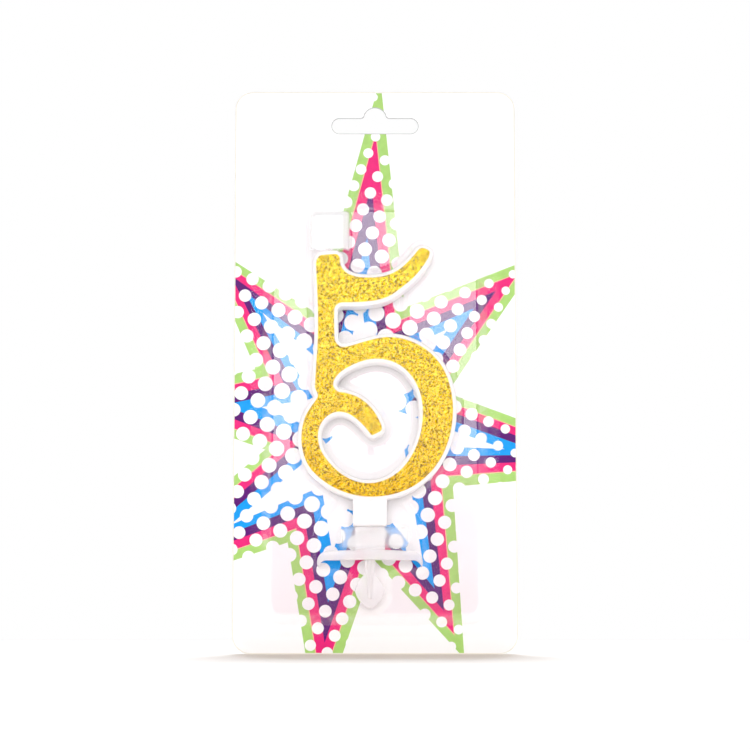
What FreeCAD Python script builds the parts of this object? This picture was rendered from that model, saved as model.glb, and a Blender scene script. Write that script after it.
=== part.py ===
import FreeCAD, Part

import math
import os

from FreeCAD import Vector

# A number birthday candle in its retail pack: a hanging card, a clear blister and, between them, a wax
# numeral with a glitter face, a wick and a clear plastic pick that stands it in a cake.
#
# Millimetres. X runs across the card, Y from front to back (the front faces -Y), Z up.
# Everything is drawn with Z = 0 at the card's bottom edge and Y = 0 at the card's back face. save() then
# moves it down, so that the row's origin is the middle of the hang slot on the card's back face.

# Backing card
CARD_WIDTH = 90.0
CARD_HEIGHT = 180.0
CARD_THICKNESS = 0.5
CARD_CORNER_R = 5.7
CARD_FRONT = -CARD_THICKNESS

# Hang slot: a long bar with round ends, and a dome on top that the peg finds by itself
SLOT_Z = 168.85
SLOT_LENGTH = 27.7
SLOT_HEIGHT = 4.9
DOME_R = 3.35
DOME_FILLET = 1.3

# Wax numeral
CANDLE_GAP = 0.5
WAX_THICKNESS = 9.5
WAX_BACK = CARD_FRONT - CANDLE_GAP
WAX_FRONT = WAX_BACK - WAX_THICKNESS
WAX_MIDDLE = (WAX_BACK + WAX_FRONT) / 2
RIM_WIDTH = 1.25
RIM_ROUND = 0.7
GLITTER_THICKNESS = 0.3
GLITTER_FRONT = WAX_FRONT - GLITTER_THICKNESS

# Wax foot under the numeral
AXIS_X = -1.6
FOOT_WIDTH = 10.6
FOOT_BOTTOM = 40.0
FOOT_TOP = 51.5
FOOT_STEP = 0.6

# Wick
WICK_X = -14.5
WICK_R = 0.8
WICK_BOTTOM = 117.0
WICK_TOP = 136.0

# Pick: a prong inside the wax, a block, shoulders that stop it at the icing, a neck and a blade
PRONG_WIDTH = 6.0
PRONG_THICKNESS = 2.4
PRONG_TOP = 50.0
PRONG_NOTCH = 1.2
BLOCK_WIDTH = 9.4
BLOCK_THICKNESS = 4.6
BLOCK_CORNER_R = 0.6
SHOULDER_Z = 32.5
SHOULDER_HALF = 16.2
SHOULDER_THICKNESS = 5.2
SHOULDER_BAR = 3.3
SHOULDER_CROWN = 0.4
SHOULDER_DROOP = 5.4
HOOK_WIDTH = 3.2
HOOK_BEND = 1.0
NECK_WIDTH = 3.2
NECK_BOTTOM = 25.0
BLADE_HALF = 4.7
BLADE_WIDEST = 20.0
BLADE_TIP = 14.2
BLADE_BELLY = 0.7
BLADE_THICKNESS = 2.0
RIB_WIDTH = 1.3
RIB_THICKNESS = 3.4
RIB_END = 3.0
OVERLAP = 1.5

# Blister: a flange sealed to the card, a tray, and bulges round the numeral and round the pick
SHEET = 0.35
FLANGE_WIDTH = 79.0
FLANGE_BOTTOM = 5.4
FLANGE_TOP = 147.2
FLANGE_R = 7.0
TRAY_BOTTOM = 9.0
TRAY_TOP = 143.5
TRAY_WIDTH = 71.8
TRAY_R = 6.0
TRAY_DRAFT = 3.2
TRAY_DEPTH = 6.5
NUMERAL_GAP = 1.0
NUMERAL_DEPTH = 11.1
PICK_GAP = 1.2
PICK_DEPTH = 8.9
BELL_TOP = 49.5
BELL_TOP_HALF = 6.8
BELL_BEND = (12.6, 43.0)
BELL_CORNER_R = 2.0
LOBE_RISE = 5.0
CHANNEL_LEFT = -19.6
CHANNEL_RIGHT = -9.6
CHANNEL_BOTTOM = 119.0
CHANNEL_TOP = 138.2
MOUTH_LEFT = -14.0
MOUTH_RIGHT = 8.6
MOUTH_BOTTOM = 96.8
MOUTH_TOP = 114.4

# The numeral's gold face, as points with the direction that the edge takes through each, in degrees
# from +X towards +Z. The edge runs clockwise, and two arcs join each point to the next.
STEM_AND_ARM = (
    (-18.8, 83.7, 88),
    (-17.9, 102.4, 90),
    (-18.6, 122.3, 93),
    (-16.5, 125.2, 5),
    (-12.7, 125.5, 4),
    (-11.1, 123.8, -92),
    (-8.4, 119.2, -28),
    (-1.5, 118.0, 1),
    (5.5, 119.4, 25),
    (13.5, 126.6, 52),
    (15.1, 127.4, -8),
    (17.2, 125.5, -108),
    (13.9, 120.1, -128),
    (9.0, 115.4, -143),
    (4.0, 112.0, -156),
    (-2.0, 110.5, -174),
)
GAP_UNDER_ARM = (
    (-10.1, 110.2, 180),
    (-12.9, 107.5, -90),
    (-12.8, 99.3, -89),
    (-9.3, 96.0, 12),
)
BOWL = (
    (-3.6, 97.6, 17),
    (4.1, 99.1, 1),
    (12.2, 97.4, -24),
    (19.9, 91.4, -52),
    (23.7, 82.9, -77),
    (24.3, 73.5, -95),
    (21.5, 62.8, -115),
    (14.7, 54.2, -141),
    (4.9, 49.6, -168),
    (-5.1, 49.3, 171),
    (-15.2, 53.3, 146),
    (-21.5, 60.1, 114),
    (-23.0, 67.8, 88),
    (-21.5, 74.7, 64),
)
NOTCH = (
    (-19.0, 78.5, 54),
    (-18.0, 81.3, 112),
)
NUMERAL = STEM_AND_ARM + GAP_UNDER_ARM + BOWL + NOTCH

# The counter inside the bowl, with the tongue of the curl reaching into it
COUNTER_CORNER = ((-13.1, 84.4, 88),)
COUNTER_ROUND = (
    (-11.4, 87.6, 45),
    (-7.2, 90.3, 26),
    (0.3, 92.3, 1),
    (7.9, 90.2, -33),
    (13.3, 83.8, -65),
    (15.0, 75.4, -90),
    (13.6, 66.5, -109),
    (8.5, 57.8, -134),
    (1.4, 53.6, -165),
    (-6.1, 53.8, 162),
    (-12.8, 58.0, 135),
    (-17.2, 64.2, 110),
    (-17.7, 69.8, 78),
    (-15.1, 74.1, 40),
    (-10.9, 75.6, -2),
    (-6.1, 73.6, -39),
    (-1.9, 69.3, -53),
    (-0.6, 68.3, 28),
    (1.4, 69.3, 30),
    (2.1, 70.9, 108),
    (0.9, 73.6, 118),
    (-1.8, 77.4, 135),
    (-5.9, 80.4, 156),
)
COUNTER_END = ((-10.8, 81.7, 175),)
COUNTER = COUNTER_CORNER + COUNTER_ROUND + COUNTER_END


def at(x, z, y=0.0):
    return Vector(x, y, z)


def outline(start, moves):
    """A closed wire in the XZ plane. A move to one point is a straight edge, and to two an arc through
    the first of them."""
    edges = []
    here = start
    for move in moves:
        points = [at(*p) for p in (here, *move)]
        if len(points) == 2:
            edges.append(Part.makeLine(*points))
        else:
            edges.append(Part.Arc(*points).toShape())
        here = move[-1]
    return Part.Wire(edges)


def arc_from(start, heading, end):
    """The arc that leaves start along heading and ends at end, or a line where the two agree."""
    chord = end - start
    along = Vector(chord).normalize()
    aside = heading - along * heading.dot(along)
    if aside.Length < 1e-4:
        return Part.makeLine(start, end)
    turn = math.atan2(aside.Length, heading.dot(along))
    middle = (start + end) / 2 + aside.normalize() * (chord.Length / 2 * math.tan(turn / 2))
    return Part.Arc(start, middle, end).toShape()


def swept(points, shift=0.0):
    """A closed wire of arcs, smooth at every point. shift moves it to its left: outwards round the
    numeral, and out into the wax round the counter."""
    places = []
    for x, z, degrees in points:
        angle = math.radians(degrees)
        heading = at(math.cos(angle), math.sin(angle))
        left = at(-math.sin(angle), math.cos(angle))
        places.append((at(x, z) + left * shift, heading))
    edges = []
    for (start, leave), (end, arrive) in zip(places, places[1:] + places[:1]):
        chord = end - start
        both = chord.dot(leave + arrive)
        bend = 2 * (1 - leave.dot(arrive))
        if bend < 1e-9:
            reach = chord.dot(chord) / (2 * both)
        else:
            reach = (math.sqrt(both * both + bend * chord.dot(chord)) - both) / bend
        meet = (start + leave * reach + end - arrive * reach) / 2
        edges.append(arc_from(start, leave, meet))
        edges.append(arc_from(end, arrive * -1, meet))
    return Part.Wire(Part.sortEdges(edges)[0])


def rounded_rectangle(left, bottom, right, top, radius, y=0.0):
    """A closed wire in the plane at y, starting at the left end of its bottom edge."""
    c = radius * (1 - math.sqrt(0.5))
    corners = (
        (at(right - radius, bottom, y), at(right - c, bottom + c, y), at(right, bottom + radius, y)),
        (at(right, top - radius, y), at(right - c, top - c, y), at(right - radius, top, y)),
        (at(left + radius, top, y), at(left + c, top - c, y), at(left, top - radius, y)),
        (at(left, bottom + radius, y), at(left + c, bottom + c, y), at(left + radius, bottom, y)),
    )
    edges = []
    here = at(left + radius, bottom, y)
    for first, middle, last in corners:
        edges.append(Part.makeLine(here, first))
        edges.append(Part.Arc(first, middle, last).toShape())
        here = last
    return Part.Wire(edges)


def slab(face_or_wire, y_from, y_to):
    """A solid from the plane y_from to the plane y_to, with the outline drawn at y = 0."""
    face = Part.Face(face_or_wire) if isinstance(face_or_wire, Part.Wire) else face_or_wire
    moved = face.translated(Vector(0, y_from, 0))
    return moved.extrude(Vector(0, y_to - y_from, 0))


def block(left, bottom, right, top, y_from, y_to):
    return Part.makeBox(
        right - left, abs(y_to - y_from), top - bottom, at(left, bottom, min(y_from, y_to))
    )


def hang_slot():
    """The sombrero slot's outline."""
    half = SLOT_HEIGHT / 2
    end = SLOT_LENGTH / 2
    top = SLOT_Z + half
    foot = DOME_R + DOME_FILLET
    side = top + DOME_FILLET
    bend = DOME_FILLET * (1 - math.sqrt(0.5))
    return outline(
        (half - end, SLOT_Z - half),
        (
            ((-end, SLOT_Z), (half - end, top)),
            ((-foot, top),),
            ((-DOME_R - bend, top + bend), (-DOME_R, side)),
            ((0, side + DOME_R - DOME_FILLET * 0.9), (DOME_R, side)),
            ((DOME_R + bend, top + bend), (foot, top)),
            ((end - half, top),),
            ((end, SLOT_Z), (end - half, SLOT_Z - half)),
            ((half - end, SLOT_Z - half),),
        ),
    )


def make_card():
    half = CARD_WIDTH / 2
    edge = rounded_rectangle(-half, 0, half, CARD_HEIGHT, CARD_CORNER_R)
    board = slab(edge, 0, CARD_FRONT)
    return board.cut(slab(hang_slot(), 1, CARD_FRONT - 1))


def make_wick():
    return Part.makeCylinder(
        WICK_R, WICK_TOP - WICK_BOTTOM, at(WICK_X, WICK_BOTTOM, WAX_MIDDLE), Vector(0, 0, 1)
    )


def make_prong():
    """The part of the pick that the wax is cast round, notched so that it can't pull out."""
    half = PRONG_WIDTH / 2
    root = FOOT_BOTTOM
    step = (PRONG_TOP - root) / 4
    left = AXIS_X - half
    right = AXIS_X + half
    shape = outline(
        (left, root),
        (
            ((right, root),),
            ((right, root + step),),
            ((right - PRONG_NOTCH, root + 1.5 * step), (right, root + 2 * step)),
            ((right, PRONG_TOP - half),),
            ((AXIS_X, PRONG_TOP), (left, PRONG_TOP - half)),
            ((left, root + 2 * step),),
            ((left + PRONG_NOTCH, root + 1.5 * step), (left, root + step)),
            ((left, root),),
        ),
    )
    return slab(shape, WAX_MIDDLE + PRONG_THICKNESS / 2, WAX_MIDDLE - PRONG_THICKNESS / 2)


def make_wax():
    """The numeral with its front edges rounded, and the foot, cast round the wick and the prong."""
    body = slab(swept(NUMERAL, RIM_WIDTH), WAX_BACK, WAX_FRONT)
    body = body.cut(slab(swept(COUNTER, -RIM_WIDTH), WAX_BACK + 1, WAX_FRONT - 1))
    front = [e for e in body.Edges if e.BoundBox.YMax < WAX_FRONT + 0.01]
    body = body.makeFillet(RIM_ROUND, front)
    foot = block(
        AXIS_X - FOOT_WIDTH / 2,
        FOOT_BOTTOM,
        AXIS_X + FOOT_WIDTH / 2,
        FOOT_TOP,
        WAX_BACK - FOOT_STEP,
        WAX_FRONT + FOOT_STEP,
    )
    return body.fuse(foot).cut(make_wick()).cut(make_prong())


def make_glitter_face():
    face = slab(swept(NUMERAL), WAX_FRONT, GLITTER_FRONT)
    return face.cut(slab(swept(COUNTER), WAX_FRONT + 1, GLITTER_FRONT - 1))


def beside(offset, z):
    """A point at that distance to the right of the pick's axis."""
    return (AXIS_X + offset, z)


def shoulders():
    """A bar whose ends droop to points, symmetric about the pick's axis."""
    tip = SHOULDER_Z - SHOULDER_DROOP
    under = SHOULDER_Z - SHOULDER_BAR
    over = SHOULDER_Z - SHOULDER_CROWN
    half = SHOULDER_HALF
    inner = half - HOOK_WIDTH
    outer = half - HOOK_WIDTH * 0.75
    hook = half - HOOK_BEND
    return outline(
        beside(-half, tip),
        (
            (beside(-hook, under - HOOK_BEND / 2), beside(-inner, under)),
            (beside(0, under + SHOULDER_CROWN / 2), beside(inner, under)),
            (beside(hook, under - HOOK_BEND / 2), beside(half, tip)),
            (beside(half - HOOK_BEND / 5, over - HOOK_BEND * 1.6), beside(outer, over)),
            (beside(0, SHOULDER_Z), beside(-outer, over)),
            (beside(HOOK_BEND / 5 - half, over - HOOK_BEND * 1.6), beside(-half, tip)),
        ),
    )


def blade():
    """The neck and the spade-shaped blade under it."""
    half = NECK_WIDTH / 2
    under = SHOULDER_Z - OVERLAP
    flare = (BLADE_HALF + half) / 2
    upper = (NECK_BOTTOM + BLADE_WIDEST) / 2 + BLADE_BELLY
    taper = BLADE_HALF / 2 + BLADE_BELLY
    lower = (BLADE_WIDEST + BLADE_TIP) / 2 - BLADE_BELLY
    return outline(
        beside(-half, under),
        (
            (beside(half, under),),
            (beside(half, NECK_BOTTOM),),
            (beside(flare, upper), beside(BLADE_HALF, BLADE_WIDEST)),
            (beside(taper, lower), beside(0, BLADE_TIP)),
            (beside(-taper, lower), beside(-BLADE_HALF, BLADE_WIDEST)),
            (beside(-flare, upper), beside(-half, NECK_BOTTOM)),
            (beside(-half, under),),
        ),
    )


def centred(wire, thickness):
    """A solid of that thickness about the middle of the wax."""
    return slab(wire, WAX_MIDDLE + thickness / 2, WAX_MIDDLE - thickness / 2)


def make_pick():
    """One moulding: prong, block, shoulders, neck and blade, with a rib down the blade's middle."""
    half = BLOCK_WIDTH / 2
    root = SHOULDER_Z - OVERLAP
    upper = rounded_rectangle(AXIS_X - half, root, AXIS_X + half, FOOT_BOTTOM, BLOCK_CORNER_R)
    rib = rounded_rectangle(
        AXIS_X - RIB_WIDTH / 2, BLADE_TIP + RIB_END, AXIS_X + RIB_WIDTH / 2, root, RIB_WIDTH * 0.4
    )
    solid = centred(upper, BLOCK_THICKNESS)
    for piece in (
        centred(shoulders(), SHOULDER_THICKNESS),
        centred(blade(), BLADE_THICKNESS),
        centred(rib, RIB_THICKNESS),
        make_prong(),
    ):
        solid = solid.fuse(piece)
    return solid.removeSplitter()


def tray(inset):
    """The tray's drafted block, or the room inside it with inset the sheet's thickness."""
    half = TRAY_WIDTH / 2 - inset
    bottom = TRAY_BOTTOM + inset
    top = TRAY_TOP - inset
    base = rounded_rectangle(-half, bottom, half, top, TRAY_R - inset, CARD_FRONT)
    crown = rounded_rectangle(
        TRAY_DRAFT - half,
        bottom + TRAY_DRAFT,
        half - TRAY_DRAFT,
        top - TRAY_DRAFT,
        TRAY_R - TRAY_DRAFT / 2 - inset,
        CARD_FRONT - TRAY_DEPTH + inset,
    )
    return Part.makeLoft([base, crown], True, True)


def numeral_bulge(inset):
    """The raised outline round the numeral: it follows the arm and the bowl, bridges the gap between
    them, covers the foot, runs up over the wick, and dips back to the tray inside the bowl."""
    gap = NUMERAL_GAP + SHEET - inset
    front = CARD_FRONT - NUMERAL_DEPTH + inset
    root = CARD_FRONT - TRAY_DEPTH / 2
    reach = RIM_WIDTH + gap
    half_foot = FOOT_WIDTH / 2 + gap
    solid = slab(swept(STEM_AND_ARM + BOWL, reach), root, front)
    rooms = (
        (MOUTH_LEFT, MOUTH_BOTTOM, MOUTH_RIGHT + gap, MOUTH_TOP),
        (AXIS_X - half_foot, FOOT_BOTTOM - gap, AXIS_X + half_foot, FOOT_TOP),
        (CHANNEL_LEFT - gap, CHANNEL_BOTTOM, CHANNEL_RIGHT + gap, CHANNEL_TOP + gap),
    )
    for left, bottom, right, top in rooms:
        solid = solid.fuse(block(left, bottom, right, top, root, front))
    dip = slab(swept(COUNTER_ROUND, -reach), root + 1, front - 1)
    return solid.cut(dip)


def pick_bulge(inset):
    """The bell over the pick's shoulders, with a lobe over its blade."""
    gap = PICK_GAP + SHEET - inset
    front = CARD_FRONT - PICK_DEPTH + inset
    root = CARD_FRONT - TRAY_DEPTH / 2
    half = SHOULDER_HALF + gap
    crown = BELL_TOP_HALF + gap
    lobe = BLADE_HALF + gap
    bend, bend_z = BELL_BEND
    low = SHOULDER_Z - SHOULDER_DROOP - gap
    tip = BLADE_TIP - gap
    corner = BELL_CORNER_R
    c = corner * (1 - math.sqrt(0.5))
    shape = outline(
        beside(-crown, BELL_TOP),
        (
            (beside(-bend - gap, bend_z), beside(-half, SHOULDER_Z)),
            (beside(-half, low + corner),),
            (beside(c - half, low + c), beside(corner - half, low)),
            (beside(-lobe, low),),
            (beside(-lobe, tip + LOBE_RISE),),
            (beside(0, tip), beside(lobe, tip + LOBE_RISE)),
            (beside(lobe, low),),
            (beside(half - corner, low),),
            (beside(half - c, low + c), beside(half, low + corner)),
            (beside(half, SHOULDER_Z),),
            (beside(bend + gap, bend_z), beside(crown, BELL_TOP)),
            (beside(-crown, BELL_TOP),),
        ),
    )
    return slab(shape, root, front)


def formed_block(inset):
    """The whole raised shape of the blister, or the room inside it."""
    return tray(inset).fuse(pick_bulge(inset)).fuse(numeral_bulge(inset))


def make_blister():
    half = FLANGE_WIDTH / 2
    edge = rounded_rectangle(-half, FLANGE_BOTTOM, half, FLANGE_TOP, FLANGE_R)
    flange = slab(edge, CARD_FRONT, CARD_FRONT - SHEET)
    return flange.fuse(formed_block(0.0)).cut(formed_block(SHEET)).removeSplitter()


def save(name, shape):
    solids = shape.Solids
    if not solids or not all(s.isValid() for s in solids):
        raise ValueError(name + " is not a set of valid solids")
    placed = shape.translated(Vector(0, 0, -SLOT_Z))
    placed.exportStep("parts/" + name + ".step")
    box = placed.BoundBox
    print(
        "%-14s solids %d  volume %9.1f  x %7.2f %7.2f  y %7.2f %7.2f  z %7.2f %7.2f"
        % (name, len(solids), shape.Volume, box.XMin, box.XMax, box.YMin, box.YMax, box.ZMin, box.ZMax)
    )


os.makedirs("parts", exist_ok=True)
save("backing_card", make_card())
save("candle_wax", make_wax())
save("glitter_face", make_glitter_face())
save("wick", make_wick())
save("pick", make_pick())
save("blister", make_blister())
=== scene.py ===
import math
import random

import bmesh
import bpy
import numpy as np
from mathutils import Matrix, Vector
from mathutils.geometry import delaunay_2d_cdt


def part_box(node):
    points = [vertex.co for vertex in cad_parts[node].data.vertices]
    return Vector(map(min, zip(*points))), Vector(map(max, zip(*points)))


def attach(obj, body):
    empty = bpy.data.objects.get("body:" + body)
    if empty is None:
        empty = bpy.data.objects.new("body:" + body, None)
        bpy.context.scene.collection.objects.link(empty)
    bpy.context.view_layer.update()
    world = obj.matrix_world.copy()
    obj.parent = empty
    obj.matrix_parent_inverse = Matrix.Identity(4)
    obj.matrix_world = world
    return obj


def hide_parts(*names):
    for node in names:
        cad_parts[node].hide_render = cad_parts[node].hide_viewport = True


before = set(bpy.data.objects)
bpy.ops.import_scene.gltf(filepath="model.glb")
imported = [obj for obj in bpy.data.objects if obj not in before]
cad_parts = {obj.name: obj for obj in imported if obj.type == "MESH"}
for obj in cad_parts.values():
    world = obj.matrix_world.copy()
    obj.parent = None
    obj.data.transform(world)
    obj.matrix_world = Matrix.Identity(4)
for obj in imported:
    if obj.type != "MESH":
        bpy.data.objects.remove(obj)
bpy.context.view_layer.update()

# A carded number candle: the printed card, the clear formed blister, and the candle between them.
# Metres, in the row frame: X across the card, the front faces -Y, Z up. What is drawn on the card's
# face is in millimetres, with Z from the card's bottom edge, and on_card turns it into metres.

MM = 0.001

CARD_LOW, CARD_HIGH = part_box("backing_card")
GOLD_LOW, GOLD_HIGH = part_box("glitter_face")
WICK_LOW, WICK_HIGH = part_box("wick")
BLISTER_LOW, BLISTER_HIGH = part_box("blister")


# ---------------------------------------------------------------- small helpers

# How far apart two CAD corners may be and still be one, and how far off a level a flat face may be
WELD = 1e-6
LEVEL_SLACK = 2e-6
# A face of the CAD sheet counts as one of its flats when it looks this squarely forward, and when
# all the faces at its height add up to this area
SQUARE_ON = 0.9999
LEAST_FLAT = 20 * MM * MM
# The grid on which an outline's corners are rounded
SOFTEN_GRID = 0.55 * MM


def on_card(x, z):
    """A point drawn in millimetres on the card, Z from its bottom edge, as (x, z) in metres."""
    return (x * MM, CARD_LOW.z + z * MM)


def flat_loops(node, level):
    """The outlines of the CAD node's flat face at y = level, as lists of (x, z), longest first."""
    bm = bmesh.new()
    bm.from_mesh(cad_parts[node].data)
    bmesh.ops.remove_doubles(bm, verts=bm.verts, dist=WELD)

    def flat(face):
        return all(abs(v.co.y - level) < LEVEL_SLACK for v in face.verts)

    beside = {}
    for edge in bm.edges:
        if sum(flat(f) for f in edge.link_faces) == 1:
            a, b = edge.verts
            beside.setdefault(a, []).append(b)
            beside.setdefault(b, []).append(a)
    loops = []
    while beside:
        first = next(iter(beside))
        loop = [first]
        here = first
        while True:
            following = [v for v in beside.pop(here) if v in beside]
            if not following:
                break
            here = following[0]
            loop.append(here)
        loops.append([(v.co.x, v.co.z) for v in loop])
    bm.free()
    return sorted(loops, key=len_of_loop, reverse=True)


def len_of_loop(loop):
    """The length round a closed loop."""
    return sum(math.dist(a, b) for a, b in zip(loop, loop[1:] + loop[:1]))


def inside(points, polygon):
    """For each row of points, whether it lies inside the closed polygon."""
    x, z = points[:, 0], points[:, 1]
    result = np.zeros(len(points), bool)
    for (ax, az), (bx, bz) in zip(polygon, polygon[1:] + polygon[:1]):
        if az == bz:
            continue
        crosses = (az > z) != (bz > z)
        result ^= crosses & (x < ax + (z - az) * (bx - ax) / (bz - az))
    return result


def circle(centre, radius, count):
    """A closed loop of count points."""
    return [
        (centre[0] + radius * math.cos(t), centre[1] + radius * math.sin(t))
        for t in (2 * math.pi * i / count for i in range(count))
    ]


def mesh_object(name, verts, faces, smooth=False):
    """A new object in the scene with that mesh."""
    mesh = bpy.data.meshes.new(name)
    mesh.from_pydata(verts, [], faces)
    mesh.validate()
    mesh.update()
    obj = bpy.data.objects.new(name, mesh)
    bpy.context.scene.collection.objects.link(obj)
    if smooth:
        mesh.polygons.foreach_set("use_smooth", [True] * len(mesh.polygons))
    return obj


def flat_levels(node):
    """The heights y of the CAD node's flat front faces, from the back to the front."""
    areas = {}
    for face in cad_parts[node].data.polygons:
        if face.normal.y < -SQUARE_ON:
            y = round(face.center.y, 5)
            areas[y] = areas.get(y, 0) + face.area
    return sorted((y for y, area in areas.items() if area > LEAST_FLAT), reverse=True)


def span(loop):
    """The area of the box round a loop."""
    xs, zs = zip(*loop)
    return (max(xs) - min(xs)) * (max(zs) - min(zs))


def evenly(loop, spacing):
    """The closed loop with its points set evenly along it."""
    closed = np.array(loop + loop[:1])
    along = np.concatenate([[0], np.cumsum(np.hypot(*np.diff(closed, axis=0).T))])
    count = max(8, round(along[-1] / spacing))
    at = np.linspace(0, along[-1], count, endpoint=False)
    xs = np.interp(at, along, closed[:, 0])
    zs = np.interp(at, along, closed[:, 1])
    return list(zip(xs.tolist(), zs.tolist()))


def grid_over(low, high, step):
    """Two rows of coordinates, and every point of the grid that they make, row after row."""
    xs = np.arange(low[0], high[0] + step, step)
    zs = np.arange(low[1], high[1] + step, step)
    return xs, zs, np.stack(np.meshgrid(xs, zs, indexing="ij"), -1).reshape(-1, 2)


def level_lines(values, xs, zs, level):
    """The closed lines along which the grid of values crosses level, each a list of (x, z)."""
    high = values > level
    corners = high[:-1, :-1].astype(int) + high[1:, :-1] + high[:-1, 1:] + high[1:, 1:]
    links = {}
    for i, j in zip(*np.nonzero((corners > 0) & (corners < 4))):
        i, j = int(i), int(j)
        sides = []
        for edge, a, b in (
            ((i, j, 0), (i, j), (i + 1, j)),
            ((i + 1, j, 1), (i + 1, j), (i + 1, j + 1)),
            ((i, j + 1, 0), (i, j + 1), (i + 1, j + 1)),
            ((i, j, 1), (i, j), (i, j + 1)),
        ):
            if high[a] != high[b]:
                sides.append(edge)
        pairs = ((sides[0], sides[3]), (sides[1], sides[2])) if len(sides) == 4 else (sides,)
        for a, b in pairs:
            links.setdefault(a, []).append(b)
            links.setdefault(b, []).append(a)
    loops = []
    while links:
        here = next(iter(links))
        loop = []
        while here in links:
            i, j, upright = here
            end = (i, j + 1) if upright else (i + 1, j)
            part = (level - values[i, j]) / (values[end] - values[i, j])
            step = (0, part) if upright else (part, 0)
            loop.append((xs[i] + (xs[1] - xs[0]) * step[0], zs[j] + (zs[1] - zs[0]) * step[1]))
            here = next((n for n in links.pop(here) if n in links), None)
        loops.append(loop)
    return loops


def field_of(points, polygon):
    """Rows of each point's distance to the closed polygon, negative inside, and its slopes."""
    best = np.full(len(points), 1e9)
    away = np.zeros((len(points), 2))
    for a, b in zip(polygon, polygon[1:] + polygon[:1]):
        a, b = np.array(a), np.array(b)
        along = b - a
        t = np.clip(((points - a) @ along) / max(along @ along, 1e-18), 0, 1)
        off = points - a - t[:, None] * along
        length = np.hypot(off[:, 0], off[:, 1])
        nearer = length < best
        best[nearer] = length[nearer]
        away[nearer] = off[nearer]
    sign = np.where(inside(points, polygon), -1.0, 1.0)
    slopes = (away / np.maximum(best, 1e-12)[:, None] * sign[:, None]).T
    return np.vstack([best * sign, slopes])


def soften(polygon, radius, spacing):
    """The outline with its corners, inward and outward, rounded to that radius."""
    for reach in (radius, -2 * radius, radius):
        margin = 2 * abs(reach)
        flat = np.array(polygon)
        xs, zs, points = grid_over(flat.min(0) - margin, flat.max(0) + margin, SOFTEN_GRID)
        values = field_of(points, polygon)[0].reshape(len(xs), len(zs))
        polygon = evenly(max(level_lines(values, xs, zs, reach), key=len_of_loop), spacing)
    return polygon


def bend(t, softness):
    """t where it is above zero and 0 below, with the corner rounded, and its slope."""
    k = softness
    value = np.where(t > k, t, np.where(t < -k, 0.0, (t + k) ** 2 / (4 * k)))
    slope = np.where(t > k, 1.0, np.where(t < -k, 0.0, (t + k) / (2 * k)))
    return value, slope


def wall(field, foot, width, softness):
    """Rows of a rise from 0 to 1 over that width, from foot outside the outline, and its slopes."""
    up, up_slope = bend((foot - field[0]) / width, softness)
    left, left_slope = bend(1 - up, softness)
    return np.vstack([1 - left, -left_slope * up_slope / width * field[1:]])


def cut_along(loops, spots, slack):
    """The plane cut into triangles along the closed loops, with the spots as further corners: the
    corners, the triangles, and each triangle's middle."""
    points, edges = [Vector(p) for p in spots], []
    for loop in loops:
        start = len(points)
        points += [Vector(p) for p in loop]
        edges += [(start + i, start + (i + 1) % len(loop)) for i in range(len(loop))]
    verts, _, faces, *_ = delaunay_2d_cdt(points, edges, [], 0, slack)
    flat = np.array([v[:] for v in verts])
    return flat, faces, np.array([flat[list(f)].mean(0) for f in faces])


# ---------------------------------------------------------------- materials


def new_material(name):
    """An empty node material, and its tree."""
    material = bpy.data.materials.new(name)
    material.use_nodes = True
    material.node_tree.nodes.clear()
    return material, material.node_tree


def add(tree, kind, inputs=None, **settings):
    """A node whose inputs are set to constants or linked to other nodes' outputs."""
    node = tree.nodes.new("ShaderNode" + kind)
    for key, value in settings.items():
        setattr(node, key, value)
    for key, value in (inputs or {}).items():
        if isinstance(value, bpy.types.NodeSocket):
            tree.links.new(value, node.inputs[key])
        else:
            node.inputs[key].default_value = value
    return node


def place(tree):
    """The point being shaded, in metres in the row frame."""
    return add(tree, "TexCoord").outputs["Object"]


def noise(tree, scale, detail=3.0, roughness=0.55):
    """Cloudy noise of about 0.2 to 0.8, with features of 1 / scale metres."""
    inputs = {"Vector": place(tree), "Scale": scale, "Detail": detail, "Roughness": roughness}
    return add(tree, "TexNoise", inputs).outputs["Fac"]


def ramp(tree, value, stops, interpolation="LINEAR"):
    """A colour for each value between the stops, each (place, (r, g, b))."""
    node = add(tree, "ValToRGB", {"Fac": value})
    node.color_ramp.interpolation = interpolation
    elements = node.color_ramp.elements
    while len(elements) < len(stops):
        elements.new(0.5)
    for element, (at, colour) in zip(elements, stops):
        element.position = at
        element.color = (*colour, 1)
    return node.outputs["Color"]


def spread(tree, value, low, high):
    """value from 0..1 stretched to low..high."""
    inputs = {"Value": value, "To Min": low, "To Max": high}
    return add(tree, "MapRange", inputs).outputs["Result"]


def smooth_between(tree, value, low, high):
    """0 before low and 1 past high, with soft ends. low may be the larger of the two."""
    inputs = {"Value": value, "From Min": low, "From Max": high}
    return add(tree, "MapRange", inputs, interpolation_type="SMOOTHSTEP").outputs["Result"]


def joined(tree, operation, values):
    """The outputs and constants joined one after another by the operation."""
    result = values[0]
    for value in values[1:]:
        result = add(tree, "Math", {0: result, 1: value}, operation=operation).outputs["Value"]
    return result


def times(tree, *values):
    """The product of outputs and constants, the first an output."""
    return joined(tree, "MULTIPLY", values)


def plus(tree, *values):
    """The sum of outputs and constants, the first an output."""
    return joined(tree, "ADD", values)


def colour_times(tree, colour, other):
    """The product of two colours."""
    node = add(tree, "Mix", {"Factor": 1.0}, data_type="RGBA", blend_type="MULTIPLY")
    tree.links.new(colour, node.inputs["A"])
    tree.links.new(other, node.inputs["B"])
    return node.outputs["Result"]


def bump(tree, height, strength, distance):
    """A normal that follows the height, which stands for distance metres."""
    inputs = {"Height": height, "Strength": strength, "Distance": distance}
    return add(tree, "Bump", inputs).outputs["Normal"]


def principled(tree, inputs):
    """The usual surface shader."""
    return add(tree, "BsdfPrincipled", inputs).outputs["BSDF"]


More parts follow.
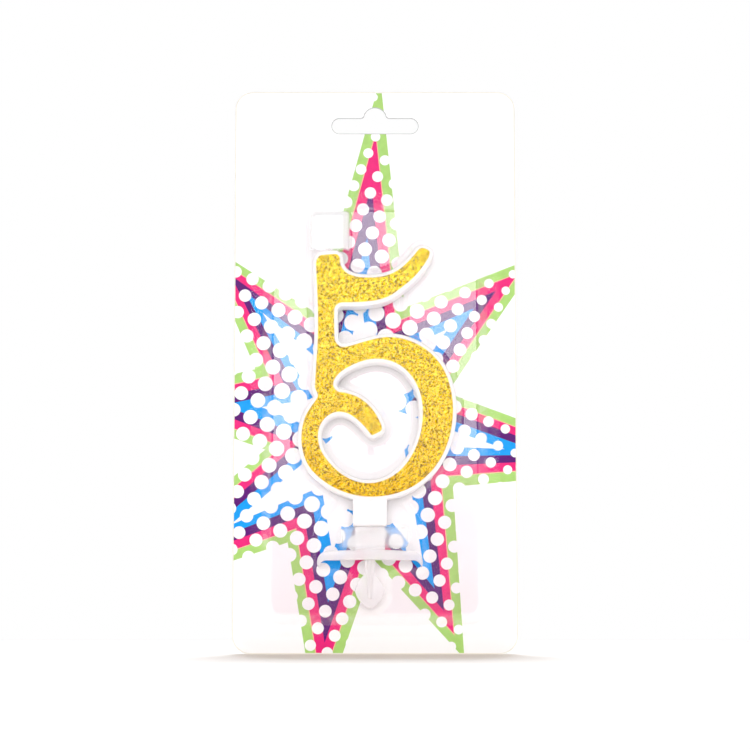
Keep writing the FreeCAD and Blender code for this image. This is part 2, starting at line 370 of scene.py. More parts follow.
def show(tree, shader):
    """Makes the shader the material's surface."""
    add(tree, "OutputMaterial", {"Surface": shader})


def shade(colour, factor):
    """The colour times the factor, with no part above 1."""
    return tuple(min(1.0, c * factor) for c in colour)


def card_white(name, colour, gloss):
    """Board: faint cloudiness, fine fibre, and a clay coat where it is glossy."""
    material, tree = new_material(name)
    tone = ramp(tree, noise(tree, 55), [(0.3, shade(colour, 0.985)), (0.7, colour)])
    fibre = noise(tree, 2600, 5, 0.7)
    inputs = {
        "Base Color": tone,
        "Roughness": spread(tree, fibre, 0.62 - 0.3 * gloss, 0.78 - 0.32 * gloss),
        "Specular IOR Level": 0.15,
        "Coat Weight": 0.08 * gloss,
        "Coat Roughness": 0.18,
        "Normal": bump(tree, fibre, 0.12, 0.00004),
    }
    show(tree, principled(tree, inputs))
    return material


def ink(name, colour):
    """Printed ink under varnish: a slight mottle, and the fine screen of the print."""
    material, tree = new_material(name)
    mottle = noise(tree, 420, 4, 0.6)
    screen = add(tree, "TexVoronoi", {"Vector": place(tree), "Scale": 5200.0}).outputs["Distance"]
    tint = ramp(tree, mottle, [(0.3, shade(colour, 0.93)), (0.7, shade(colour, 1.05))])
    dotted = ramp(tree, screen, [(0.1, (0.96, 0.96, 0.96)), (0.6, (1, 1, 1))])
    inputs = {
        "Base Color": colour_times(tree, tint, dotted),
        "Roughness": spread(tree, mottle, 0.28, 0.4),
        "Specular IOR Level": 0.08,
        "Coat Weight": 0.05,
        "Coat Roughness": 0.15,
        "Normal": bump(tree, noise(tree, 2600, 5, 0.7), 0.1, 0.00003),
    }
    show(tree, principled(tree, inputs))
    return material


# ---------------------------------------------------------------- the printed card

# The printed star as corners (x, z, taper), clockwise from its top point, in points and valleys by
# turns. Its bands run parallel to its edges, and taper is how wide they are at that corner.
STAR = (
    (1.7, 184.5, 1.0),
    (9.5, 109.9, 1.0),
    (53.5, 127.0, 0.86),
    (23.0, 82.5, 0.82),
    (88.0, 58.3, 0.78),
    (24.7, 52.6, 1.1),
    (28.1, -1.4, 0.83),
    (-0.1, 29.3, 1.0),
    (-18.1, -22.9, 1.0),
    (-27.6, 35.0, 1.0),
    (-95.0, 12.5, 0.82),
    (-34.9, 64.4, 0.84),
    (-79.6, 80.5, 0.92),
    (-38.1, 90.1, 1.0),
    (-55.8, 131.7, 0.68),
    (-19.1, 108.3, 1.0),
)
# How far inside the star's edge each ink begins
BANDS = (
    (0.0, "green"),
    (3.1, "peach"),
    (3.4, "magenta"),
    (6.5, "violet"),
    (9.6, "blue"),
    (13.4, "white"),
)
INKS = {
    "green": (0.4, 0.65, 0.17),
    "peach": (0.88, 0.52, 0.33),
    "magenta": (0.82, 0.015, 0.19),
    "violet": (0.1, 0.002, 0.16),
    "blue": (0.002, 0.33, 0.86),
}
# The colour of the board's printed face and back, of its cut edge, which also paints the shadow line
# round the hang slot, and of the painted shadow band along its outline
BOARD_FRONT = (0.93, 0.925, 0.93)
BOARD_BACK = (0.46, 0.425, 0.37)
BOARD_EDGE_AND_SLOT_SHADE = (0.5, 0.5, 0.5)
BOARD_OUTLINE_SHADE = (0.84, 0.8, 0.72)
# How wide the painted shadow lines round the slot and along the card's outline look from the front
SLOT_SHADE_LINE = 0.22 * MM
OUTLINE_SHADE_LINE = 0.35 * MM
CARD_SLACK = 1e-7
# The dots stand on a square grid. They are largest at DOT_CENTRE, and DOT_FADE smaller at DOT_REACH
# from it: to the left, to the right, and up or down.
DOT_PITCH = 5.82
DOT_TILT = math.radians(-23.7)
DOT_START = (-36.2, 111.4)
DOT_LARGE = 3.2
DOT_FADE = 1.85
DOT_CENTRE = (0.0, 75.0)
DOT_REACH = (80.0, 45.0, 100.0)
DOT_SIDES = 28
DOT_ROWS = 24


def star_at(depth):
    """The star's outline with its edges moved in by depth millimetres."""
    corners = []
    for i, (x, z, taper) in enumerate(STAR):
        before, after = STAR[i - 1], STAR[(i + 1) % len(STAR)]
        first = Vector((x - before[0], z - before[1])).normalized()
        second = Vector((after[0] - x, after[1] - z)).normalized()
        first_in = Vector((first.y, -first.x))
        second_in = Vector((second.y, -second.x))
        shift = (first_in + second_in) / (1 + first_in.dot(second_in)) * depth * taper
        corners.append(on_card(x + shift.x, z + shift.y))
    return corners


def grown(loop, reach):
    """The closed loop with its points moved outward by reach, or inward where it is negative."""
    flat = np.array(loop)
    along = np.roll(flat, -1, axis=0) - np.roll(flat, 1, axis=0)
    along /= np.hypot(*along.T)[:, None]
    outward = np.stack([along[:, 1], -along[:, 0]], 1) * abs(reach)
    sides = [[tuple(p) for p in (flat + move).tolist()] for move in (outward, -outward)]
    return sorted(sides, key=span)[1 if reach > 0 else 0]


def dots():
    """The white dots that meet the star, on a tilted square grid."""
    edge = star_at(0.0)
    found = []
    step = Vector((math.cos(DOT_TILT), math.sin(DOT_TILT))) * DOT_PITCH
    for i in range(-DOT_ROWS, DOT_ROWS + 1):
        for j in range(-DOT_ROWS, DOT_ROWS + 1):
            x = DOT_START[0] + step.x * i - step.y * j
            z = DOT_START[1] + step.y * i + step.x * j
            reach = DOT_REACH[0] if x < DOT_CENTRE[0] else DOT_REACH[1]
            out = math.hypot((x - DOT_CENTRE[0]) / reach, (z - DOT_CENTRE[1]) / DOT_REACH[2])
            radius = DOT_LARGE - DOT_FADE * min(out, 1.0)
            ring = circle(on_card(x, z), radius * MM, DOT_SIDES)
            if inside(np.array(ring + [on_card(x, z)]), edge).any():
                found.append(ring)
    return found


def make_card():
    """The board as one closed mesh. Its front is cut along the edges of every ink and of the painted
    shadow lines round the slot and along the outline.
    """
    outlines = flat_loops("backing_card", CARD_LOW.y)
    bands = [(star_at(depth), colour) for depth, colour in BANDS]
    rings = dots()
    # Painted shadow: a grey line round the hang slot and a warm grey band along the card's outline,
    # where the card's edges cast shade
    slot_shade = grown(outlines[1], SLOT_SHADE_LINE)
    outline_shade_border = grown(outlines[0], -OUTLINE_SHADE_LINE)
    lines = outlines + [slot_shade, outline_shade_border] + [corners for corners, _ in bands] + rings
    flat, faces, centres = cut_along(lines, [], CARD_SLACK)
    board = inside(centres, outlines[0]) & ~inside(centres, outlines[1])
    names = ["white", *INKS]
    back_slot, edge_and_slot_shade_slot, outline_shade_slot = (len(names) + i for i in range(3))
    paint = np.zeros(len(faces), int)
    for corners, colour in bands:
        paint[inside(centres, corners)] = names.index(colour)
    for ring in rings:
        paint[inside(centres, ring)] = names.index("white")
    paint[inside(centres, slot_shade)] = edge_and_slot_shade_slot
    paint[~inside(centres, outline_shade_border)] = outline_shade_slot

    front = [(x, CARD_LOW.y, z) for x, z in flat]
    back = [(x, CARD_HIGH.y, z) for x, z in flat]
    count = len(front)
    polygons, slots = [], []
    seen = {}
    for face, slot, keep in zip(faces, paint, board):
        if not keep:
            continue
        a, b, c = face
        polygons += [(a, b, c), (c + count, b + count, a + count)]
        slots += [slot, back_slot]
        seen.update(dict.fromkeys(((a, b), (b, c), (c, a))))
    for a, b in seen:
        if (b, a) not in seen:
            polygons.append((b, a, a + count, b + count))
            slots.append(edge_and_slot_shade_slot)
    card = mesh_object("printed_card", front + back, polygons)
    materials = [card_white("board_front", BOARD_FRONT, 1.0)]
    materials += [ink("ink_" + name, colour) for name, colour in INKS.items()]
    materials += [
        card_white("board_back", BOARD_BACK, 0.0),
        card_white("board_edge_and_slot_shade", BOARD_EDGE_AND_SLOT_SHADE, 0.0),
        card_white("board_outline_shade", BOARD_OUTLINE_SHADE, 0.0),
    ]
    for material in materials:
        card.data.materials.append(material)
    card.data.polygons.foreach_set("material_index", slots)
    bm = bmesh.new()
    bm.from_mesh(card.data)
    loose = [v for v in bm.verts if not v.link_faces]
    bmesh.ops.delete(bm, geom=loose, context="VERTS")
    bmesh.ops.recalc_face_normals(bm, faces=bm.faces)
    bm.to_mesh(card.data)
    bm.free()
    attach(card, "card")
    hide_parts("backing_card")


# ---------------------------------------------------------------- the formed sheet

# Points stand this far apart round the walls and on level ground. Lines across the sheet are found
# on a grid, and loops shorter than SHORT_RING are left out.
RING_STEP = 0.9 * MM
FLAT_STEP = 3.2 * MM
LINE_GRID = 0.6 * MM
SHORT_RING = 6 * MM
SHEET_SLACK = 1e-8
# Moving the rings onto their heights: rounds, the longest move, and the least slope squared
RING_ROUNDS = 2
LONGEST_MOVE = 0.3 * MM
LEAST_STEEP = 1e-3
# Ground is level where the sheet rises by less than this per metre
LEVEL_SLOPE = 0.02
# How far outside its outline each wall starts, how wide it is and how round: tray, bell and front
WALLS = ((0.0, 3.2 * MM, 0.2), (0.55 * MM, 2.1 * MM, 0.3), (0.55 * MM, 2.1 * MM, 0.3))
# The parts of each wall's height that get a ring of points, closer together where the wall bends
RING_PARTS = (
    (0.003, 0.02, 0.06, 0.13, 0.25, 0.4, 0.55, 0.7, 0.83, 0.92, 0.97, 0.992),
    (0.01, 0.07, 0.2, 0.45, 0.72, 0.9, 0.985),
    (0.015, 0.09, 0.24, 0.42, 0.6, 0.76, 0.88, 0.95, 0.99),
)
# How round the corners of the CAD sheet's outlines are made
CORNER = 1.2 * MM
# The vent's dimple, and the rings of points round it as parts of its radius
VENT = (-1.0, 11.6)
VENT_R = 0.9 * MM
VENT_SPREAD = VENT_R / 1.6
VENT_HEIGHT = 0.45 * MM
VENT_RINGS = (0.3, 0.65, 1.0, 1.4, 1.9)
VENT_SIDES = 18
# The sheet's free edge comes down to this height above the card
RIM_HEIGHT = 0.03 * MM
# The formed part is what stands this far above the seal. The raised front is what reaches within
# FRONT_MARGIN of the bell's height, below the wick's channel.
FORMED_FROM = 0.15 * MM
FRONT_MARGIN = 0.8 * MM
CHANNEL_FROM = 128.0
# The slight waves of formed sheet: height in millimetres, radians per metre across and up, and phase
WAVES = (
    (0.045, 61, 23, 0.4),
    (0.04, -37, 71, 2.1),
    (0.03, 118, 49, 4.0),
    (0.02, -96, 143, 1.2),
    (0.012, 210, -170, 3.3),
)
# How strongly each part of the sheet mirrors the room seen straight on, and all of it seen edge-on
CROWN_MIRROR = 0.058
SEAL_MIRROR = 0.006
FRONT_MIRROR = 0.012
EDGE_MIRROR = 0.9
# The sheet's tint seen straight on, on a slope, and edge-on
SLOPE_TINT = [(0.3, (0.987, 0.97, 0.977)), (0.66, (0.972, 0.96, 0.965)), (1.0, (0.74, 0.71, 0.725))]
SHEET_TINT = [(0.0, (0.937, 0.892, 0.915)), *SLOPE_TINT]
FRONT_TINT = [(0.0, (0.992, 0.974, 0.98)), *SLOPE_TINT]
SEAL_TINT = [(0.0, (0.998, 0.998, 0.998)), (0.6, (0.985, 0.985, 0.985)), (1.0, (0.8, 0.8, 0.8))]
# The walls cloud from the first slope to the second, by WALL_CLOUD
WALL_FACING = (0.12, 0.6)
WALL_CLOUD = 0.1
# Where the sheet is clouded white, as (x low, x high, z low, z high, softness, cloud): over the
# bell's top, where drawing the sheet thin has clouded it, and over the wick's channel, where the
# white is a painted glare. The cloud begins at the first depth behind the sheet's front, and is full
# at the second.
CLOUD_AND_GLARE = ((-9.0, 9.0, 34.5, 38.0, 3.4, 0.4), (-19.5, -8.9, 127.7, 139.0, 1.2, 0.8))
CLOUD_AND_GLARE_DEPTH = (5.2 * MM, 3.4 * MM)


def sheet_shape():
    """The formed sheet as its CAD node gives it: its outer edge, the heights of its levels above
    the card, and the functions fields, height and finish."""
    seal_y, tray_y, bell_y, front_y = flat_levels("blister")
    edge, tray = sorted(flat_loops("blister", seal_y), key=span, reverse=True)[:2]
    _, raised, dip = sorted(flat_loops("blister", tray_y), key=span, reverse=True)[:3]
    bulge = max(flat_loops("blister", front_y), key=span)
    raised, bulge, dip = (soften(loop, CORNER, RING_STEP) for loop in (raised, bulge, dip))
    vent = np.array(on_card(*VENT))
    steps = [CARD_LOW.y - y for y in (seal_y, tray_y, bell_y, front_y)]

    def fields(points):
        """The signed distances that the three walls rise over, each as rows with its slopes."""
        out_of_dip = -field_of(points, dip)
        found = [field_of(points, tray)]
        for outline in (raised, bulge):
            ring = field_of(points, outline)
            found.append(np.where(out_of_dip[0] > ring[0], out_of_dip, ring))
        return found

    def height(points, found=None):
        """Rows of the sheet's height above the card's front and of its slopes."""
        total = np.zeros((3, len(points)))
        total[0] = steps[0]
        for field, walls, low, high in zip(found or fields(points), WALLS, steps, steps[1:]):
            total += wall(field, *walls) * (high - low)
        return total

    def finish(points, total):
        """The same rows with the vent's dimple and the slight waves of formed sheet."""
        total = total.copy()
        formed = np.clip((total[0] - steps[0]) / (steps[1] - steps[0]), 0, 1)
        for size, across, up, phase in WAVES:
            angle = points @ np.array([across, up]) + phase
            total[0] += formed * size * MM * np.sin(angle)
            total[1] += formed * size * MM * across * np.cos(angle)
            total[2] += formed * size * MM * up * np.cos(angle)
        off = points - vent
        dimple = VENT_HEIGHT * np.exp(-(off**2).sum(1) / VENT_SPREAD**2)
        total[0] += dimple
        total[1:] -= dimple * 2 * off.T / VENT_SPREAD**2
        return total

    return edge, steps, fields, height, finish


def sheet_rings(fields, height, steps, edge):
    """The sheet's outer edge, a ring of points round every wall at each height of RING_PARTS, moved
    until it lies on that height, and a ring along the line where each wall starts or ends."""
    corners = np.array(edge)
    xs, zs, points = grid_over(corners.min(0), corners.max(0), LINE_GRID)
    found = fields(points)
    values = height(points, found)[0].reshape(len(xs), len(zs))
    lines, levels = [], []
    for low, high, parts in zip(steps, steps[1:], RING_PARTS):
        for level in (low + (high - low) * part for part in parts):
            for loop in level_lines(values, xs, zs, level):
                if len_of_loop(loop) > SHORT_RING:
                    lines.append(evenly(loop, RING_STEP))
                    levels += [level] * len(lines[-1])
    moved = np.array([p for line in lines for p in line])
    for _ in range(RING_ROUNDS):
        rows = height(moved)
        steep = np.maximum((rows[1:] ** 2).sum(0), LEAST_STEEP)
        move = np.clip((rows[0] - levels) / steep * rows[1:], -LONGEST_MOVE, LONGEST_MOVE)
        moved = moved - move.T
    rings = [edge]
    for line in lines:
        rings.append([tuple(p) for p in moved[: len(line)].tolist()])
        moved = moved[len(line) :]
    for field, (foot, width, soft) in zip(found, WALLS):
        values = field[0].reshape(len(xs), len(zs))
        for level in (foot + soft * width, foot - (1 + soft) * width):
            for loop in level_lines(values, xs, zs, level):
                if len_of_loop(loop) > SHORT_RING:
                    rings.append(evenly(loop, RING_STEP))
    return rings


def make_blister():
    """One formed sheet: rings of points round every wall, joined up, then raised off the card."""
    edge, steps, fields, height, finish = sheet_shape()
    edge = evenly(edge, RING_STEP)
    rings = sheet_rings(fields, height, steps, edge)
    rings += [circle(on_card(*VENT), VENT_R * part, VENT_SIDES) for part in VENT_RINGS]
    corners = np.array(edge)
    _, _, points = grid_over(corners.min(0) + FLAT_STEP / 2, corners.max(0), FLAT_STEP)
    rows = height(points)
    level_ground = (np.hypot(rows[1], rows[2]) < LEVEL_SLOPE) & inside(points, edge)

    flat, faces, centres = cut_along(rings, points[level_ground].tolist(), SHEET_SLACK)
    faces = [f for f, keep in zip(faces, inside(centres, edge)) if keep]
    used = sorted({v for f in faces for v in f})
    renumber = {v: i for i, v in enumerate(used)}
    faces = [tuple(renumber[v] for v in f) for f in faces]
    flat = flat[used]
    rows = finish(flat, height(flat))
    front = CARD_LOW.y
    verts = [(x, front - h, z) for (x, z), h in zip(flat.tolist(), rows[0].tolist())]
    normals = [Vector((-a, -1, -b)).normalized() for a, b in rows[1:].T.tolist()]

    sides = {side for f in faces for side in zip(f, f[1:] + f[:1])}
    rim = [(a, b) for a, b in sides if (b, a) not in sides]
    lower = {}
    for a, _ in rim:
        lower[a] = len(verts)
        x, _, z = verts[a]
        verts.append((x, front - RIM_HEIGHT, z))
        normals.append(Vector((x, 0, z - (BLISTER_LOW.z + BLISTER_HIGH.z) / 2)).normalized())
    count = len(faces)
    faces += [(b, a, lower[a], lower[b]) for a, b in rim]
    sheet = mesh_object("formed_sheet", verts, faces, smooth=True)
    formed = rows[0] > steps[0] + FORMED_FROM
    raised = (rows[0] > steps[2] - FRONT_MARGIN) & (flat[:, 1] < on_card(0, CHANNEL_FROM)[1])
    formed_slot, sealed_slot, front_slot = range(3)
    slots = []
    for face in faces[:count]:
        over = list(face)
        if raised[over].all():
            slots.append(front_slot)
        else:
            slots.append(formed_slot if formed[over].any() else sealed_slot)
    slots += [sealed_slot] * len(rim)
    for material in (
        clear_sheet("formed_clear_sheet", CROWN_MIRROR, SHEET_TINT, stretched_and_glare=True),
        clear_sheet("sealed_clear_sheet", SEAL_MIRROR, SEAL_TINT),
        clear_sheet("front_clear_sheet", FRONT_MIRROR, FRONT_TINT, stretched_and_glare=True, dusty=0.004),
    ):
        sheet.data.materials.append(material)
    sheet.data.polygons.foreach_set("material_index", slots)
    sheet.data.normals_split_custom_set_from_vertices(normals)
    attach(sheet, "blister")
    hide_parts("blister")


def clear_sheet(name, mirror, tint, stretched_and_glare=False, dusty=0.03):
    """Thin clear plastic: it lets light through, takes a little of it where the sheet is seen
    edge-on, mirrors the room with the strength of its two faces together, and where it is formed it
    clouds on its walls and where it was stretched, and carries a painted glare of white over the
    wick's channel. dusty is the most that the fine cloudiness all over it hides."""
    material, tree = new_material(name)
    facing = add(tree, "LayerWeight", {"Blend": 0.5}).outputs["Facing"]
    clear = add(tree, "BsdfTransparent", {"Color": ramp(tree, facing, tint)}).outputs["BSDF"]
    strength = spread(tree, joined(tree, "POWER", (facing, 5)), mirror, EDGE_MIRROR)
    ripple = bump(tree, noise(tree, 900, 3, 0.5), 0.05, 0.00002)
    gloss_inputs = {"Color": strength, "Roughness": 0.06, "Normal": ripple}
    gloss = add(tree, "BsdfGlossy", gloss_inputs).outputs["BSDF"]
    film = add(tree, "AddShader", {0: clear, 1: gloss}).outputs["Shader"]
    cloud = spread(tree, noise(tree, 140, 5, 0.7), 0.0, dusty)
    if stretched_and_glare:
        walls = smooth_between(tree, facing, *WALL_FACING)
        cloud = plus(tree, cloud, times(tree, walls, WALL_CLOUD))
        at = add(tree, "SeparateXYZ", {"Vector": place(tree)}).outputs
        lifted = smooth_between(tree, at["Y"], *(BLISTER_LOW.y + depth for depth in CLOUD_AND_GLARE_DEPTH))
        # The bell's patch is clouding from stretching; the channel's patch is a painted glare, white
        # cloud that stands in for the light mirrored on the sheet there
        for x_low, x_high, z_low, z_high, soft, amount in CLOUD_AND_GLARE:
            low, high = on_card(x_low, z_low), on_card(x_high, z_high)
            soft *= MM
            patch = times(
                tree,
                smooth_between(tree, at["X"], low[0] - soft, low[0]),
                smooth_between(tree, at["X"], high[0] + soft, high[0]),
                smooth_between(tree, at["Z"], low[1] - soft, low[1]),
                smooth_between(tree, at["Z"], high[1] + soft, high[1]),
                lifted,
                amount,
            )
            cloud = plus(tree, cloud, patch)
    haze_and_glare_inputs = {"Base Color": (1.0, 0.99, 0.995, 1), "Roughness": 0.4, "Specular IOR Level": 0.3}
    haze_and_glare = principled(tree, haze_and_glare_inputs)
    show(tree, add(tree, "MixShader", {"Fac": cloud, 1: film, 2: haze_and_glare}).outputs["Shader"])
    return material


# ---------------------------------------------------------------- the candle

# The gold from its darkest flake to its brightest
GOLD_TONES = [
    (0.0, (0.1, 0.045, 0.0005)),
    (0.16, (0.32, 0.18, 0.002)),
    (0.36, (0.72, 0.47, 0.003)),
    (0.75, (0.98, 0.7, 0.006)),
    (1.0, (1.0, 0.95, 0.1)),
]
# Painted light and shade on the gold: it is lighter high on the numeral and darker and deeper in
# colour
# low on it, as light from above falls: (Z on the card, what the tone is times)
GOLD_HEIGHT_SHADE = ((42.0, (0.9, 0.76, 0.6)), (75.0, (1.0, 0.95, 1.0)), (125.0, (1.06, 1.1, 1.3)))
# Keeps the painted shading's factors, which go above 1, within what a colour can hold
SHADE_ROOM = 0.75
FLAKE_COUNT = 9000
# Places are drawn over the whole box of the numeral, this many for each flake
FLAKE_TRIES = 3
FLAKE_R = (0.21, 0.34)
FLAKE_SIDES = 6
FLAKE_TILT = math.radians(28)
# A tilted flake's middle stands proud of the bed by this part of the tilt's rise
FLAKE_LIFT = 0.5
STRANDS = 3
STRAND_R = 0.4 * MM
STRAND_ORBIT = 0.38 * MM
STRAND_PITCH = 3.4 * MM
STRAND_SIDES = 8
STRAND_RINGS = 72
# Each strand is shorter than the one before by this part of its length
STRAND_STEP = 0.02
# The last rings of a strand draw in: how many, the last one's size, and what each before it adds
STRAND_TIP = (3, 0.55, 0.15)
PICK_ROUND = 0.3 * MM
PICK_WELD = 2e-6
# Angles between the pick's faces: still one flat, an edge to round, and an edge that shades sharp
PICK_FLAT = math.radians(2)
PICK_EDGE = math.radians(35)
PICK_SHARP = math.radians(40)


def wax():
    """Cast wax: light spreads in it, the surface is faintly mottled and softly polished."""
    material, tree = new_material("cast_wax")
    cloud = noise(tree, 160, 4, 0.6)
    tone = ramp(tree, cloud, [(0.3, (0.96, 0.945, 0.93)), (0.7, (0.985, 0.975, 0.96))])
    grain = noise(tree, 1500, 4, 0.6)
    inputs = {
        "Base Color": tone,
        "Roughness": spread(tree, grain, 0.32, 0.5),
        "Subsurface Weight": 0.5,
        "Subsurface Radius": (0.005, 0.0042, 0.0036),
        "Subsurface Scale": 1.0,
        "Normal": bump(tree, grain, 0.15, 0.00006),
    }
    show(tree, principled(tree, inputs))
    return material


def gold_tone(tree, value):
    """The gold for a flake's value, with painted shade: lighter high on the numeral, darker low on
    it.
    """
    low, high = GOLD_HEIGHT_SHADE[0][0], GOLD_HEIGHT_SHADE[-1][0]
    up = add(tree, "SeparateXYZ", {"Vector": place(tree)}).outputs["Z"]
    ends = {"From Min": on_card(0, low)[1], "From Max": on_card(0, high)[1]}
    part = add(tree, "MapRange", {"Value": up, **ends}).outputs["Result"]
    stops = [((z - low) / (high - low), shade(colour, SHADE_ROOM)) for z, colour in GOLD_HEIGHT_SHADE]
    tones = [(at, tuple(c / SHADE_ROOM for c in colour)) for at, colour in GOLD_TONES]
    return colour_times(tree, ramp(tree, value, tones), ramp(tree, part, stops))


def glitter_bed():
    """Gold glitter poured level: cells of about a flake's size, each with its own tone and tilt."""
    material, tree = new_material("glitter_bed")
    cell = add(tree, "TexVoronoi", {"Vector": place(tree), "Scale": 1700.0})
    value = add(tree, "SeparateColor", {"Color": cell.outputs["Color"]}).outputs["Red"]
    inputs = {
        "Base Color": gold_tone(tree, value),
        "Metallic": 0.35,
        "Roughness": spread(tree, value, 0.35, 0.6),
        "Specular IOR Level": 0.06,
        "Normal": bump(tree, cell.outputs["Distance"], 0.5, 0.0002),
    }
    show(tree, principled(tree, inputs))
    return material


def glitter_flake():
    """One flake's foil: a tone of its own, and a bright metal face under clear lacquer."""
    material, tree = new_material("glitter_foil")
    chance = add(tree, "NewGeometry").outputs["Random Per Island"]
    inputs = {
        "Base Color": gold_tone(tree, chance),
        "Metallic": 0.45,
        "Roughness": spread(tree, noise(tree, 3000), 0.3, 0.5),
        "Specular IOR Level": 0.06,
    }
    show(tree, principled(tree, inputs))
    return material


def make_glitter():
    """Loose flakes bedded in the face, each a six-sided chip with a tilt of its own."""
    random.seed(11)
    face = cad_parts["glitter_face"]
    face.data.materials.clear()
    face.data.materials.append(glitter_bed())
    outer, inner = flat_loops("glitter_face", GOLD_LOW.y)[:2]
    tries = []
    for _ in range(FLAKE_COUNT * FLAKE_TRIES):
        x = random.uniform(GOLD_LOW.x, GOLD_HIGH.x)
        tries.append((x, random.uniform(GOLD_LOW.z, GOLD_HIGH.z)))
    spots = np.array(tries)
    margin = FLAKE_R[0] * MM
    gold = (field_of(spots, outer)[0] < -margin) & (field_of(spots, inner)[0] > margin)
    verts, faces = [], []
    for x, z in spots[gold][:FLAKE_COUNT].tolist():
        radius = random.uniform(*FLAKE_R) * MM
        turn = random.uniform(0, math.tau)
        lean = random.uniform(0, FLAKE_TILT)
        toward = random.uniform(0, math.tau)
        tilt = Matrix.Rotation(lean, 3, Vector((math.cos(toward), 0, math.sin(toward))))
        middle = Vector((x, GOLD_LOW.y - radius * math.sin(lean) * FLAKE_LIFT, z))
        start = len(verts)
        for i in range(FLAKE_SIDES):
            angle = turn - math.tau * i / FLAKE_SIDES
            verts.append(middle + tilt @ Vector((math.cos(angle), 0, math.sin(angle))) * radius)
        faces.append(tuple(range(start, start + FLAKE_SIDES)))
    flakes = mesh_object("glitter_flakes", verts, faces)
    flakes.data.materials.append(glitter_flake())
    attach(flakes, "candle")


def make_wax():
    """The CAD's wax with a better material."""
    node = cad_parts["candle_wax"]
    node.data.materials.clear()
    node.data.materials.append(wax())


def make_wick():
    """Cotton strands wound round each other, with the ends a little uneven."""
    middle = (WICK_LOW + WICK_HIGH) / 2
    length = WICK_HIGH.z - WICK_LOW.z
    count = STRAND_RINGS
    tip, tip_size, tip_step = STRAND_TIP
    verts, faces = [], []
    for strand in range(STRANDS):
        start = len(verts)
        reach = length * (1 - STRAND_STEP * strand)
        for i in range(count):
            z = WICK_LOW.z + reach * i / (count - 1)
            turn = math.tau * ((z - WICK_LOW.z) / STRAND_PITCH + strand / STRANDS)
            cx = middle.x + STRAND_ORBIT * math.cos(turn)
            cy = middle.y + STRAND_ORBIT * math.sin(turn)
            radius = STRAND_R * (1 if i < count - tip else tip_size + tip_step * (count - 1 - i))
            for j in range(STRAND_SIDES):
                angle = math.tau * j / STRAND_SIDES
                verts.append((cx + radius * math.cos(angle), cy + radius * math.sin(angle), z))
        for i in range(count - 1):
            for j in range(STRAND_SIDES):
                a = start + i * STRAND_SIDES + j
                b = start + i * STRAND_SIDES + (j + 1) % STRAND_SIDES
                faces.append((a, b, b + STRAND_SIDES, a + STRAND_SIDES))
        faces.append(tuple(start + j for j in reversed(range(STRAND_SIDES))))
        faces.append(tuple(start + (count - 1) * STRAND_SIDES + j for j in range(STRAND_SIDES)))
    wick = mesh_object("twisted_wick", verts, faces, smooth=True)
    material, tree = new_material("waxed_cotton")
    fibre = noise(tree, 2400, 6, 0.75)
    tone = ramp(tree, fibre, [(0.3, (0.78, 0.75, 0.68)), (0.65, (0.93, 0.91, 0.86))])
    inputs = {
        "Base Color": tone,
        "Roughness": 0.8,
        "Sheen Weight": 0.3,
        "Normal": bump(tree, fibre, 0.4, 0.00008),
    }
    show(tree, principled(tree, inputs))
    wick.data.materials.append(material)
    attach(wick, "candle")
    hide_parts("wick")


def make_pick():
    """The moulding with every sharp edge rounded, in slightly milky clear plastic."""
    bm = bmesh.new()
    bm.from_mesh(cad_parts["pick"].data)
    bmesh.ops.remove_doubles(bm, verts=bm.verts, dist=PICK_WELD)
    bmesh.ops.dissolve_limit(bm, angle_limit=PICK_FLAT, verts=bm.verts, edges=bm.edges)
    sharp = [e for e in bm.edges if len(e.link_faces) == 2 and e.calc_face_angle() > PICK_EDGE]
    rounding = {"offset": PICK_ROUND, "segments": 3, "profile": 0.5, "clamp_overlap": True}
    bmesh.ops.bevel(bm, geom=sharp, affect="EDGES", **rounding)
    bmesh.ops.triangulate(bm, faces=bm.faces)
    bm.verts.index_update()
    # The bevel gives the same faces in another order each run, so they are sorted
    corners = [tuple(v.index for v in face.verts) for face in bm.faces]
    faces = sorted(min(c[i:] + c[:i] for i in range(3)) for c in corners)
    pick = mesh_object("clear_pick", [v.co[:] for v in bm.verts], faces, smooth=True)
    bm.free()
    pick.data.set_sharp_from_angle(angle=PICK_SHARP)
    material, tree = new_material("moulded_clear_plastic")
    facing = add(tree, "LayerWeight", {"Blend": 0.5}).outputs["Facing"]
    flow = noise(tree, 260, 4, 0.6)
    tints = [(0.0, (0.99, 0.97, 0.98)), (0.6, (0.97, 0.94, 0.95)), (1.0, (0.85, 0.8, 0.82))]
    clear = add(tree, "BsdfTransparent", {"Color": ramp(tree, facing, tints)}).outputs["BSDF"]
    body_inputs = {
        "Base Color": ramp(tree, flow, [(0.3, (0.98, 0.96, 0.985)), (0.7, (1.0, 1.0, 1.0))]),
        "Roughness": 0.2,
        "Subsurface Weight": 0.3,
        "Subsurface Radius": (0.002, 0.002, 0.002),
        "Subsurface Scale": 1.0,
        "Normal": bump(tree, flow, 0.25, 0.0004),
    }
    body = principled(tree, body_inputs)
    milk = spread(tree, facing, 0.6, 0.85)
    show(tree, add(tree, "MixShader", {"Fac": milk, 1: clear, 2: body}).outputs["Shader"])
    pick.data.materials.append(material)
    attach(pick, "candle")
    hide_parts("pick")


# ---------------------------------------------------------------- camera and light

CAMERA_DISTANCE = 0.7
CAMERA_ELEVATION = math.radians(-6.0)
CAMERA_AIM = 88.2 * MM
CAMERA_NEAR = 0.01
LENS_MM = 105.5
SENSOR_MM = 36
# The strength of each part of the room, as it falls on the object
SOFTBOX = 5.4
DOME = 0.55
HORIZON = 0.45
BACKDROP = 1.0
BACK_LIGHT = 28.0
BACK_LIGHT_COLOUR = (0.85, 1.0, 1.2, 1)
